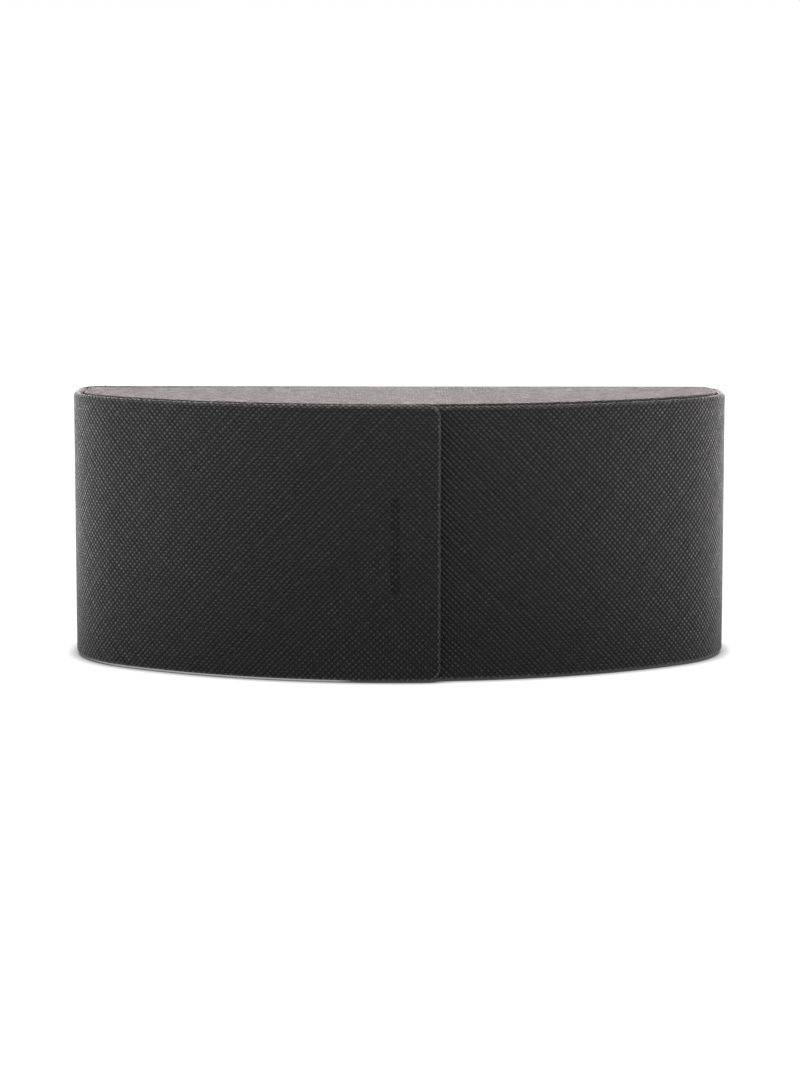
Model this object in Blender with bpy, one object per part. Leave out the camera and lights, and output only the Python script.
"""A half-moon eyewear case: a leather-covered wall bent round two D-shaped ends, closed by a magnetic flap.

Metres, +Z up, the case standing on its lower end with its curved front towards -Y and its flat back towards +Y.
The walls are laid out flat, as a maker would cut them, and then bent round the outline of the case.
"""

import math

import bmesh
import bpy
from mathutils import Matrix, Vector

MM = 0.001

# Overall sizes of the case, over the leather.
WIDTH = 168.0 * MM
DEPTH = 64.0 * MM
HEIGHT = 68.0 * MM

# The outline from above: a shallow front arc, two tighter shoulders, short straight sides and small back corners.
SHOULDER_RADIUS = 32.0 * MM
SIDE_STRAIGHT = 8.0 * MM
BACK_CORNER_RADIUS = 6.0 * MM

# The layers of a wall, from the outside in.
LEATHER = 0.5 * MM
WALL_BOARD = 0.8 * MM
LINING = 0.4 * MM
GLUE_GAP = 0.1 * MM
WALL = LEATHER + GLUE_GAP + WALL_BOARD + GLUE_GAP + LINING

# The D-shaped ends, let in between the walls. The lower one stands just below them, so that the flap swings clear.
END_BOARD = 1.5 * MM
END_THICKNESS = LEATHER + GLUE_GAP + END_BOARD + GLUE_GAP + LINING
END_CLEARANCE = 0.4 * MM
FLOOR_CLEARANCE = 0.5 * MM

# The flap's upper rim is flush with the upper end, and the shell's rim is a little lower.
RIM_DROP = 0.5 * MM

# Leather turned over the edges, and the lining let in between the turned edges.
TURN_IN = 5.0 * MM
END_TURN_IN = 4.0 * MM
LINING_GAP = 0.2 * MM

# The flap laps over the fixed wall at the front, and its free corners are rounded.
FLAP_REACH = 10.0 * MM
WALL_END = 12.0 * MM
LAP_GAP = 0.3 * MM
FLAP_CORNER_RADIUS = 3.0 * MM

# The living hinge: a strip of leather and a strip of lining on the back, where the board is left out.
HINGE_FROM_CORNER = 4.0 * MM
HINGE_WIDTH = 3.0 * MM
HINGE_GAP = 0.2 * MM

# Disc magnets let into both boards where they lap.
MAGNET_RADIUS = 4.0 * MM
MAGNET_THICKNESS = 0.6 * MM
MAGNET_CLEARANCE = 0.3 * MM
MAGNET_MARGIN = 12.0 * MM
MAGNET_NAMES = ("lower", "middle", "upper")

# The L-section tapes that join the ends to the wall, and the foam pad on the back.
TAPE_LEG = 2.5 * MM
TAPE_THICKNESS = 0.5 * MM
TAPE_GAP = 0.2 * MM
TAPE_START = 12.0 * MM
PAD_THICKNESS = 3.0 * MM
PAD_MARGIN = 4.0 * MM
PAD_CORNER_RADIUS = 5.0 * MM

# How finely the bends are faceted.
FRONT_FACET = 5.0 * MM
SHOULDER_FACET = 3.2 * MM
CORNER_FACET = 1.2 * MM
CORNER_SEGMENTS = 6
DISC_SEGMENTS = 24
SHARP_ANGLE = math.radians(40)
FLAT_ANGLE = math.radians(0.5)
MERGE_DISTANCE = 0.001 * MM
CUT_OVERRUN = 1.0 * MM

HALF = WIDTH / 2
SHOULDER_X = HALF - SHOULDER_RADIUS
SHOULDER_Y = DEPTH - BACK_CORNER_RADIUS - SIDE_STRAIGHT
FRONT_RADIUS = (SHOULDER_X**2 + SHOULDER_Y**2 - SHOULDER_RADIUS**2) / (2 * (SHOULDER_Y - SHOULDER_RADIUS))
FLAP_LIFT = WALL + LAP_GAP
HINGE_X = HALF - BACK_CORNER_RADIUS - HINGE_FROM_CORNER
INSIDE_TOP = HEIGHT - END_THICKNESS
FLAP_SPAN = (FLOOR_CLEARANCE, HEIGHT)
SHELL_SPAN = (FLOOR_CLEARANCE, HEIGHT - RIM_DROP)
Y_SHIFT = -(DEPTH - FLAP_LIFT) / 2

COLOURS = {
    "leather": ((0.018, 0.018, 0.020), 0.42, 0.0),
    "board": ((0.33, 0.30, 0.26), 0.90, 0.0),
    "lining": ((0.022, 0.022, 0.024), 0.95, 0.0),
    "foam": ((0.030, 0.030, 0.032), 0.95, 0.0),
    "magnet": ((0.62, 0.62, 0.64), 0.25, 1.0),
}


def material(name):
    """A plain surface for the finish of that name, made once."""
    found = bpy.data.materials.get(name)
    if found:
        return found
    made = bpy.data.materials.new(name)
    made.use_nodes = True
    colour, roughness, metallic = COLOURS[name]
    shader = made.node_tree.nodes["Principled BSDF"]
    shader.inputs["Base Color"].default_value = (*colour, 1.0)
    shader.inputs["Roughness"].default_value = roughness
    shader.inputs["Metallic"].default_value = metallic
    return made


def add_object(name, mesh, collection, finish=None):
    """Links a mesh as an object. A cutter has no finish, and isn't part of the case."""
    made = bpy.data.objects.new(name, mesh)
    collection.objects.link(made)
    if finish:
        mesh.materials.append(material(finish))
    else:
        made.hide_render = True
        made.display_type = "WIRE"
    return made


def mesh_from(bm, name):
    mesh = bpy.data.meshes.new(name)
    bm.to_mesh(mesh)
    bm.free()
    return mesh


def arc_stations(centre, radius, start, end, facet):
    """(point, outward direction) along an arc. Angles run from the front, 0, through +X, 90 degrees, to the back."""
    count = max(2, math.ceil(radius * abs(end - start) / facet))
    found = []
    for step in range(count + 1):
        angle = start + (end - start) * step / count
        outward = Vector((math.sin(angle), -math.cos(angle)))
        found.append((centre + radius * outward, outward))
    return found


def half_outline(start_x, end_x, inset=0.0, lift=0.0):
    """Stations of the outline's right half, from the front at start_x round to the back at end_x.

    The front arc can be lifted outwards. The shoulder's centre then moves forward, so that it still meets the arc.
    """
    front = FRONT_RADIUS + lift - inset
    reach = FRONT_RADIUS + lift - SHOULDER_RADIUS
    shoulder_y = FRONT_RADIUS - math.sqrt(reach**2 - SHOULDER_X**2)
    shoulder_centre = Vector((SHOULDER_X, shoulder_y))
    join = math.atan2(SHOULDER_X, FRONT_RADIUS - shoulder_y)
    corner = max(BACK_CORNER_RADIUS - inset, CORNER_FACET / 2)
    corner_centre = Vector((HALF - inset - corner, DEPTH - inset - corner))
    stations = arc_stations(Vector((0, FRONT_RADIUS)), front, math.asin(start_x / front), join, FRONT_FACET)
    stations += arc_stations(shoulder_centre, SHOULDER_RADIUS - inset, join, math.pi / 2, SHOULDER_FACET)[1:]
    stations += arc_stations(corner_centre, corner, math.pi / 2, math.pi, CORNER_FACET)
    stations.append((Vector((end_x, DEPTH - inset)), Vector((0, 1))))
    return stations


class BentWall:
    """The outer face of a wall from above. A flat layout's X runs along it, and its Y is the depth below it."""

    def __init__(self, stations, side):
        self.side = side
        self.points = [Vector((side * point.x, point.y + Y_SHIFT)) for point, _ in stations]
        self.outward = [Vector((side * outward.x, outward.y)) for _, outward in stations]
        self.along = [0.0]
        for first, second in zip(self.points, self.points[1:]):
            self.along.append(self.along[-1] + (second - first).length)
        self.length = self.along[-1]

    def place(self, along, depth):
        """The point on the plan at that distance along the wall and depth below its outer face."""
        index = 1
        while index < len(self.along) - 1 and self.along[index] < along:
            index += 1
        share = (along - self.along[index - 1]) / (self.along[index] - self.along[index - 1])
        before = self.points[index - 1] - depth * self.outward[index - 1]
        after = self.points[index] - depth * self.outward[index]
        return before.lerp(after, share)

    def direction(self, along):
        """The way out of the wall at that distance along it."""
        index = min(range(len(self.along)), key=lambda i: abs(self.along[i] - along))
        return self.outward[index]

    def bend(self, obj):
        """Folds a flat layout at every station and lays it round the outline."""
        bm = bmesh.new()
        bm.from_mesh(obj.data)
        for along in self.along[1:-1]:
            geometry = bm.verts[:] + bm.edges[:] + bm.faces[:]
            bmesh.ops.bisect_plane(
                bm, geom=geometry, dist=MERGE_DISTANCE, plane_co=(along, 0, 0), plane_no=(1, 0, 0)
            )
        for vertex in bm.verts:
            place = self.place(vertex.co.x, vertex.co.y)
            vertex.co = (place.x, place.y, vertex.co.z)
        if self.side < 0:
            bmesh.ops.reverse_faces(bm, faces=bm.faces[:])
        bm.to_mesh(obj.data)
        bm.free()
        return obj


def flat_block(name, low, high, corner=0.0):
    """A block from low to high. The two corners at its low-X end are rounded if a radius is given."""
    bm = bmesh.new()
    low, high = Vector(low), Vector(high)
    bmesh.ops.create_cube(bm, size=1.0)
    bmesh.ops.transform(bm, verts=bm.verts[:], matrix=Matrix.Diagonal((*(high - low), 1.0)))
    bmesh.ops.translate(bm, verts=bm.verts[:], vec=(low + high) / 2)
    if corner > 0:
        middle = (low.x + high.x) / 2
        ends = [
            edge
            for edge in bm.edges
            if all(vertex.co.x < middle for vertex in edge.verts)
            and abs(edge.verts[0].co.z - edge.verts[1].co.z) < MERGE_DISTANCE
        ]
        bmesh.ops.bevel(
            bm, geom=ends, offset=corner, segments=CORNER_SEGMENTS, profile=0.5, affect="EDGES", material=-1
        )
    return mesh_from(bm, name)


def disc(name, radius, thickness, centre, outward):
    """A disc whose faces look along outward."""
    bm = bmesh.new()
    bmesh.ops.create_cone(
        bm, cap_ends=True, segments=DISC_SEGMENTS, radius1=radius, radius2=radius, depth=thickness
    )
    turn = Vector(outward).to_track_quat("Z", "Y").to_matrix().to_4x4()
    bmesh.ops.transform(bm, verts=bm.verts[:], matrix=Matrix.Translation(centre) @ turn)
    return mesh_from(bm, name)


def cut(obj, cutters):
    """Takes the cutters out of obj and keeps the result as its mesh."""
    for cutter in cutters:
        modifier = obj.modifiers.new("cut", "BOOLEAN")
        modifier.operation = "DIFFERENCE"
        modifier.object = cutter
    graph = bpy.context.evaluated_depsgraph_get()
    finished = bpy.data.meshes.new_from_object(obj.evaluated_get(graph))
    obj.modifiers.clear()
    obj.data = finished
    return obj


def end_plate(name, inset, low, high, collection, finish=None):
    """A D-shaped plate from low to high, its edge inset from the outline of the case."""
    right = [point for point, _ in half_outline(0.0, 0.0, inset)][:-1]
    left = [Vector((-point.x, point.y)) for point in reversed(right[1:])]
    outline = right + left
    curve = bpy.data.curves.new(name, "CURVE")
    curve.dimensions = "2D"
    curve.fill_mode = "BOTH"
    curve.extrude = (high - low) / 2
    spline = curve.splines.new("POLY")
    spline.points.add(len(outline) - 1)
    spline.use_cyclic_u = True
    for place, point in zip(spline.points, outline):
        place.co = (point.x, point.y + Y_SHIFT, 0.0, 1.0)
    drawn = bpy.data.objects.new(name, curve)
    collection.objects.link(drawn)
    graph = bpy.context.evaluated_depsgraph_get()
    mesh = bpy.data.meshes.new_from_object(drawn.evaluated_get(graph))
    bpy.data.objects.remove(drawn)
    bpy.data.curves.remove(curve)
    bm = bmesh.new()
    bm.from_mesh(mesh)
    bmesh.ops.remove_doubles(bm, verts=bm.verts[:], dist=MERGE_DISTANCE)
    bmesh.ops.dissolve_limit(bm, angle_limit=FLAT_ANGLE, verts=bm.verts[:], edges=bm.edges[:])
    bmesh.ops.translate(bm, verts=bm.verts[:], vec=(0, 0, (low + high) / 2))
    bmesh.ops.recalc_face_normals(bm, faces=bm.faces[:])
    bm.to_mesh(mesh)
    bm.free()
    mesh.name = name
    return add_object(name, mesh, collection, finish)


def magnet_heights():
    """Heights of the magnets' centres, the outer ones at the margin from the ends."""
    pitch = (HEIGHT - 2 * MAGNET_MARGIN) / (len(MAGNET_NAMES) - 1)
    return [MAGNET_MARGIN + index * pitch for index in range(len(MAGNET_NAMES))]


def wall_layers(prefix, wall, span, free_corner, magnet_along, case, cutters):
    """One wall: its leather turned over the board on three sides, its board and its lining."""
    low, high = span
    end = wall.length
    board_out = LEATHER + GLUE_GAP
    lining_out = board_out + WALL_BOARD + GLUE_GAP

    cover = add_object(
        f"{prefix}_cover",
        flat_block(f"{prefix}_cover", (0, 0, low), (end, WALL, high), free_corner),
        case,
        "leather",
    )
    pocket_cutter = add_object(
        f"{prefix}_pocket",
        flat_block(
            f"{prefix}_pocket",
            (LEATHER, LEATHER, low + LEATHER),
            (end + CUT_OVERRUN, lining_out, high - LEATHER),
            free_corner - LEATHER,
        ),
        cutters,
    )
    window_cutter = add_object(
        f"{prefix}_window",
        flat_block(
            f"{prefix}_window",
            (TURN_IN, lining_out - LEATHER, low + TURN_IN),
            (end + CUT_OVERRUN, WALL + CUT_OVERRUN, high - TURN_IN),
        ),
        cutters,
    )
    wall.bend(cut(cover, [pocket_cutter, window_cutter]))

    board = add_object(
        f"{prefix}_board",
        flat_block(
            f"{prefix}_board",
            (board_out, board_out, low + board_out),
            (end, board_out + WALL_BOARD, high - board_out),
            free_corner - board_out,
        ),
        case,
        "board",
    )
    holes = [
        add_object(
            f"{prefix}_magnet_hole_{name}",
            disc(
                f"{prefix}_magnet_hole_{name}",
                MAGNET_RADIUS + MAGNET_CLEARANCE,
                WALL + 2 * CUT_OVERRUN,
                (magnet_along, WALL / 2, height),
                (0, 1, 0),
            ),
            cutters,
        )
        for name, height in zip(MAGNET_NAMES, magnet_heights())
    ]
    wall.bend(cut(board, holes))

    border = TURN_IN + LINING_GAP
    lining = add_object(
        f"{prefix}_lining",
        flat_block(f"{prefix}_lining", (border, lining_out, low + border), (end, WALL, high - border)),
        case,
        "lining",
    )
    wall.bend(lining)


def wall_magnets(prefix, wall, magnet_along, case):
    """The disc magnets let into one wall's board."""
    depth = LEATHER + GLUE_GAP + WALL_BOARD / 2
    place = wall.place(magnet_along, depth)
    outward = wall.direction(magnet_along)
    for name, height in zip(MAGNET_NAMES, magnet_heights()):
        mesh = disc(
            f"{prefix}_magnet_{name}",
            MAGNET_RADIUS,
            MAGNET_THICKNESS,
            (place.x, place.y, height),
            (outward.x, outward.y, 0),
        )
        mesh.shade_smooth()
        mesh.set_sharp_from_angle(angle=SHARP_ANGLE)
        add_object(f"{prefix}_magnet_{name}", mesh, case, "magnet")


def end_layers(prefix, outer, inner, case, cutters):
    """One D-shaped end between the heights outer and inner: its leather, its board and its lining."""
    way = 1 if inner > outer else -1
    edge = WALL + END_CLEARANCE

    def between(first, second):
        return sorted((outer + way * first, outer + way * second))

    board_out = LEATHER + GLUE_GAP
    lining_out = board_out + END_BOARD + GLUE_GAP
    cover = end_plate(f"{prefix}_cover", edge, *between(0, END_THICKNESS), case, "leather")
    pocket = end_plate(f"{prefix}_pocket", edge + LEATHER, *between(LEATHER, lining_out), cutters)
    window = end_plate(
        f"{prefix}_window",
        edge + END_TURN_IN,
        *between(lining_out - LEATHER, END_THICKNESS + CUT_OVERRUN),
        cutters,
    )
    cut(cover, [pocket, window])
    end_plate(
        f"{prefix}_board",
        edge + LEATHER + GLUE_GAP,
        *between(board_out, board_out + END_BOARD),
        case,
        "board",
    )
    end_plate(
        f"{prefix}_lining",
        edge + END_TURN_IN + LINING_GAP,
        *between(lining_out, END_THICKNESS),
        case,
        "lining",
    )


def corner_tape(name, wall, end_face, way, case):
    """An L-section tape glued into the corner between the shell's wall and an end. It bends round with the wall."""
    start = WALL_END + TAPE_START
    finish = wall.length - HINGE_WIDTH
    side = WALL + TAPE_GAP
    foot = end_face + way * TAPE_GAP
    bm = bmesh.new()
    profile = [
        (side, foot),
        (side + TAPE_LEG, foot),
        (side + TAPE_LEG, foot + way * TAPE_THICKNESS),
        (side + TAPE_THICKNESS, foot + way * TAPE_THICKNESS),
        (side + TAPE_THICKNESS, foot + way * TAPE_LEG),
        (side, foot + way * TAPE_LEG),
    ]
    section = bm.faces.new([bm.verts.new((start, depth, height)) for depth, height in profile])
    swept = bmesh.ops.extrude_face_region(bm, geom=[section])
    moved = [item for item in swept["geom"] if isinstance(item, bmesh.types.BMVert)]
    bmesh.ops.translate(bm, verts=moved, vec=(finish - start, 0, 0))
    bmesh.ops.recalc_face_normals(bm, faces=bm.faces[:])
    return wall.bend(add_object(name, mesh_from(bm, name), case, "lining"))


def hinge(case):
    """The leather and lining strips that bend where the flap joins the back."""
    low, high = SHELL_SPAN
    reach = HINGE_WIDTH / 2 - HINGE_GAP
    back = DEPTH + Y_SHIFT
    add_object(
        "hinge_strip",
        flat_block("hinge_strip", (-HINGE_X - reach, back - LEATHER, low), (-HINGE_X + reach, back, high)),
        case,
        "leather",
    )
    add_object(
        "hinge_lining",
        flat_block(
            "hinge_lining",
            (-HINGE_X - reach, back - WALL, low + LEATHER),
            (-HINGE_X + reach, back - WALL + LINING, high - LEATHER),
        ),
        case,
        "lining",
    )


def back_pad(case):
    """The foam pad on the inside of the back, with rounded corners."""
    back = DEPTH + Y_SHIFT - WALL - GLUE_GAP
    reach = HINGE_X - HINGE_WIDTH - PAD_MARGIN
    low = END_THICKNESS + PAD_MARGIN
    bm = bmesh.new()
    bmesh.ops.create_cube(bm, size=1.0)
    size = Vector((2 * reach, PAD_THICKNESS, HEIGHT - 2 * low))
    bmesh.ops.transform(bm, verts=bm.verts[:], matrix=Matrix.Diagonal((*size, 1.0)))
    bmesh.ops.translate(bm, verts=bm.verts[:], vec=(0, back - PAD_THICKNESS / 2, HEIGHT / 2))
    ends = [edge for edge in bm.edges if abs(edge.verts[0].co.y - edge.verts[1].co.y) > MERGE_DISTANCE]
    bmesh.ops.bevel(
        bm,
        geom=ends,
        offset=PAD_CORNER_RADIUS,
        segments=CORNER_SEGMENTS,
        profile=0.5,
        affect="EDGES",
        material=-1,
    )
    add_object("back_pad", mesh_from(bm, "back_pad"), case, "foam")


def hang_flap(case):
    """Parents the flap's pieces to an empty on the hinge's axis, which runs up the back's outer face."""
    axis = bpy.data.objects.new("flap_axis", None)
    axis.location = (-HINGE_X, DEPTH + Y_SHIFT, HEIGHT / 2)
    case.objects.link(axis)
    for obj in list(case.objects):
        if obj.name.startswith("flap_") and obj != axis:
            obj.parent = axis
            obj.matrix_parent_inverse = Matrix.Translation(-axis.location)


def main():
    for obj in list(bpy.data.objects):
        bpy.data.objects.remove(obj, do_unlink=True)
    case = bpy.data.collections.new("eyewear_case")
    cutters = bpy.data.collections.new("cutters")
    for collection in (case, cutters):
        bpy.context.scene.collection.children.link(collection)

    shell = BentWall(half_outline(-WALL_END, -HINGE_X + HINGE_WIDTH / 2), side=1)
    flap = BentWall(half_outline(-FLAP_REACH, HINGE_X + HINGE_WIDTH / 2, lift=FLAP_LIFT), side=-1)
    lap_middle = (WALL_END + FLAP_REACH) / 2
    wall_layers("shell", shell, SHELL_SPAN, 0.0, lap_middle, case, cutters)
    wall_layers("flap", flap, FLAP_SPAN, FLAP_CORNER_RADIUS, lap_middle, case, cutters)
    wall_magnets("shell", shell, lap_middle, case)
    wall_magnets("flap", flap, lap_middle, case)
    end_layers("bottom", 0.0, END_THICKNESS, case, cutters)
    end_layers("top", HEIGHT, INSIDE_TOP, case, cutters)
    corner_tape("bottom_tape", shell, END_THICKNESS, 1, case)
    corner_tape("top_tape", shell, INSIDE_TOP, -1, case)
    hinge(case)
    back_pad(case)
    hang_flap(case)


main()
